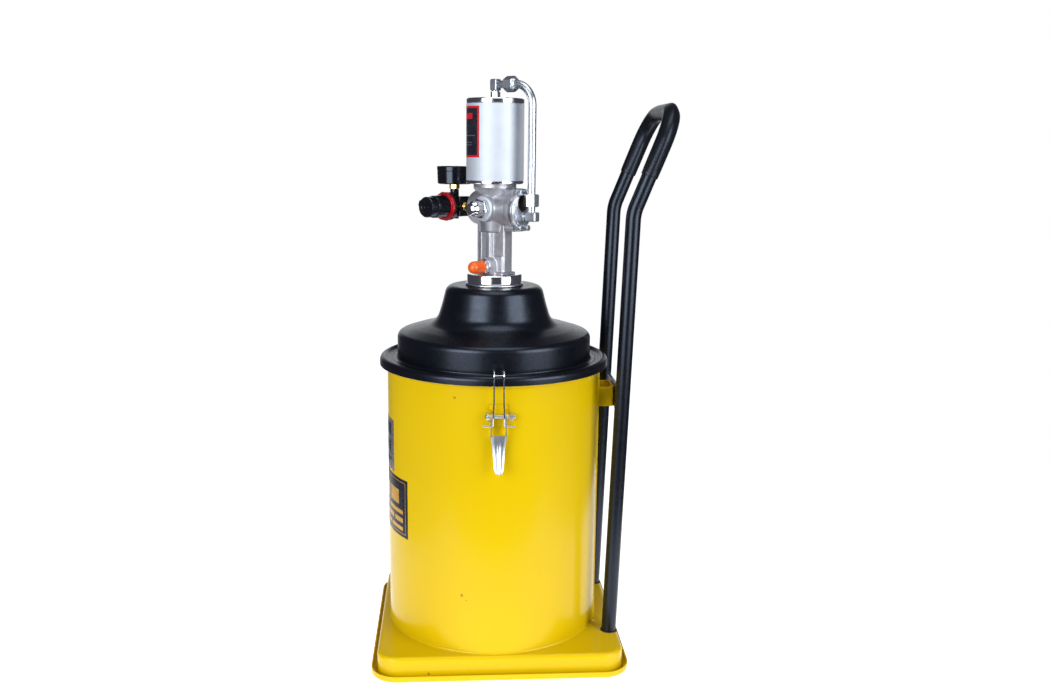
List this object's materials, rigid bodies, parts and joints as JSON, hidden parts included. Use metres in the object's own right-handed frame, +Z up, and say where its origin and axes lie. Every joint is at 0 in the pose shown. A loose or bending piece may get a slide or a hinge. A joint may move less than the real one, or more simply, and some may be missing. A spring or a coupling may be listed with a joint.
{
  "type": "air-operated drum oil pump",
  "caption": "Air motor piston pump on the clamped lid of a round oil drum, with a regulator, gauge, capped outlet and a tilted push handle.",
  "frame": {"origin": "on the floor, at the centre of the bounding box's bottom face", "axes": "+Z up along the drum and the pump, +X towards the push handle, -Y towards the front latch"},
  "size_m": [0.4399, 0.363, 0.8475],
  "materials": {
    "yellow_paint": "gloss powder coat",
    "black_paint": "semi-gloss fine-textured coat",
    "rubber": "matte",
    "black_plastic": "satin moulded",
    "chrome": "polished",
    "cast_aluminium": "blasted casting",
    "satin_aluminium": "satin anodised",
    "rod_steel": "ground",
    "bronze": "sintered, matte",
    "brass": "turned",
    "red_ring": "anodised red",
    "orange_plastic": "moulded",
    "clear": "clear",
    "zinc_steel": "bright zinc plate"
  },
  "bodies": {
    "root": {"base_pan": "yellow_paint", "drum": "yellow_paint", "handle_bracket": "yellow_paint", "latch_bracket_front": "yellow_paint", "latch_bracket_rear": "yellow_paint", "lid": "black_paint", "handle_tube": "black_paint", "handle_crossbar": "black_paint", "lid_gasket": "rubber", "handle_grip": "black_plastic", "regulator_body": "black_plastic", "gauge_case": "black_plastic", "pump_flange": "chrome", "detent_washer": "chrome", "detent_cap": "chrome", "motor_base": "chrome", "motor_cap": "chrome", "pump_body": "cast_aluminium", "motor_cylinder": "satin_aluminium", "pump_tube": "rod_steel", "exhaust_muffler": "bronze", "port_adapter": "brass", "gauge_stem": "brass", "regulator_ring": "red_ring", "gauge_lens": "clear", "bracket_bolt_front": "zinc_steel", "bracket_bolt_rear": "zinc_steel", "latch_pivot_front": "zinc_steel", "latch_pivot_rear": "zinc_steel", "latch_nut_front": "zinc_steel", "latch_nut_rear": "zinc_steel", "flange_gasket": "zinc_steel", "pump_lock_nut": "zinc_steel", "foot_valve": "zinc_steel", "valve_cover": "zinc_steel", "cover_bolt_1": "zinc_steel", "cover_bolt_2": "zinc_steel", "cover_bolt_3": "zinc_steel", "cover_bolt_4": "zinc_steel", "lower_elbow": "zinc_steel", "lower_nut": "zinc_steel", "air_tube": "zinc_steel", "upper_nut": "zinc_steel", "upper_elbow": "zinc_steel", "outlet_nipple": "zinc_steel", "inlet_nipple": "zinc_steel"},
    "front_lever": {"latch_lever_front": "zinc_steel"},
    "front_bail": {"latch_bail_front": "zinc_steel"},
    "rear_lever": {"latch_lever_rear": "zinc_steel"},
    "rear_bail": {"latch_bail_rear": "zinc_steel"},
    "adjusting_knob": {"regulator_knob": "black_plastic"},
    "gauge_pointer": {"gauge_needle": "black_plastic"},
    "air_piston": {"motor_piston": "satin_aluminium", "piston_seal": "rubber", "piston_nut": "zinc_steel", "piston_rod": "rod_steel", "pump_plunger": "bronze"},
    "valve_slide": {"slide_valve": "bronze"},
    "intake_ball": {"foot_valve_ball": "rod_steel"},
    "hose_cap": {"outlet_cap": "orange_plastic"}
  },
  "joints": [
    {"name": "front_lever_pivot", "type": "hinge", "parent": "root", "child": "front_lever", "pos_m": [-0.03961, -0.1665, 0.388], "axis": [-1, 0, 0], "range_deg": [0, 120]},
    {"name": "front_bail_pivot", "type": "hinge", "parent": "front_lever", "child": "front_bail", "pos_m": [-0.03961, -0.169, 0.375], "axis": [-1, 0, 0], "range_deg": [-110.5, 0]},
    {"name": "rear_lever_pivot", "type": "hinge", "parent": "root", "child": "rear_lever", "pos_m": [-0.03961, 0.1665, 0.388], "axis": [1, 0, 0], "range_deg": [0, 120]},
    {"name": "rear_bail_pivot", "type": "hinge", "parent": "rear_lever", "child": "rear_bail", "pos_m": [-0.03961, 0.169, 0.375], "axis": [1, 0, 0], "range_deg": [-110.5, 0]},
    {"name": "knob_turn", "type": "hinge", "parent": "root", "child": "adjusting_knob", "pos_m": [-0.09859, 0.05405, 0.6612], "axis": [-0.6756, -0.7373, 0], "range_deg": [-540, 540]},
    {"name": "pointer_turn", "type": "hinge", "parent": "root", "child": "gauge_pointer", "pos_m": [-0.09859, 0.05405, 0.7125], "axis": [0, 0, -1], "range_deg": [0, 270]},
    {"name": "piston_stroke", "type": "slide", "parent": "root", "child": "air_piston", "axis": [0, 0, 1], "range_m": [0, 0.08]},
    {"name": "valve_shift", "type": "slide", "parent": "root", "child": "valve_slide", "axis": [0, 0, 1], "range_m": [0, 0.008]},
    {"name": "ball_lift", "type": "slide", "parent": "root", "child": "intake_ball", "axis": [0, 0, 1], "range_m": [0, 0.004]},
    {"name": "cap_pull", "type": "slide", "parent": "root", "child": "hose_cap", "axis": [-0.6756, -0.7373, 0], "range_m": [0, 0.03]}
  ],
  "couplings": [
    {"joint": "front_bail_pivot", "follows": "front_lever_pivot", "ratio": -0.92},
    {"joint": "rear_bail_pivot", "follows": "rear_lever_pivot", "ratio": -0.92}
  ]
}
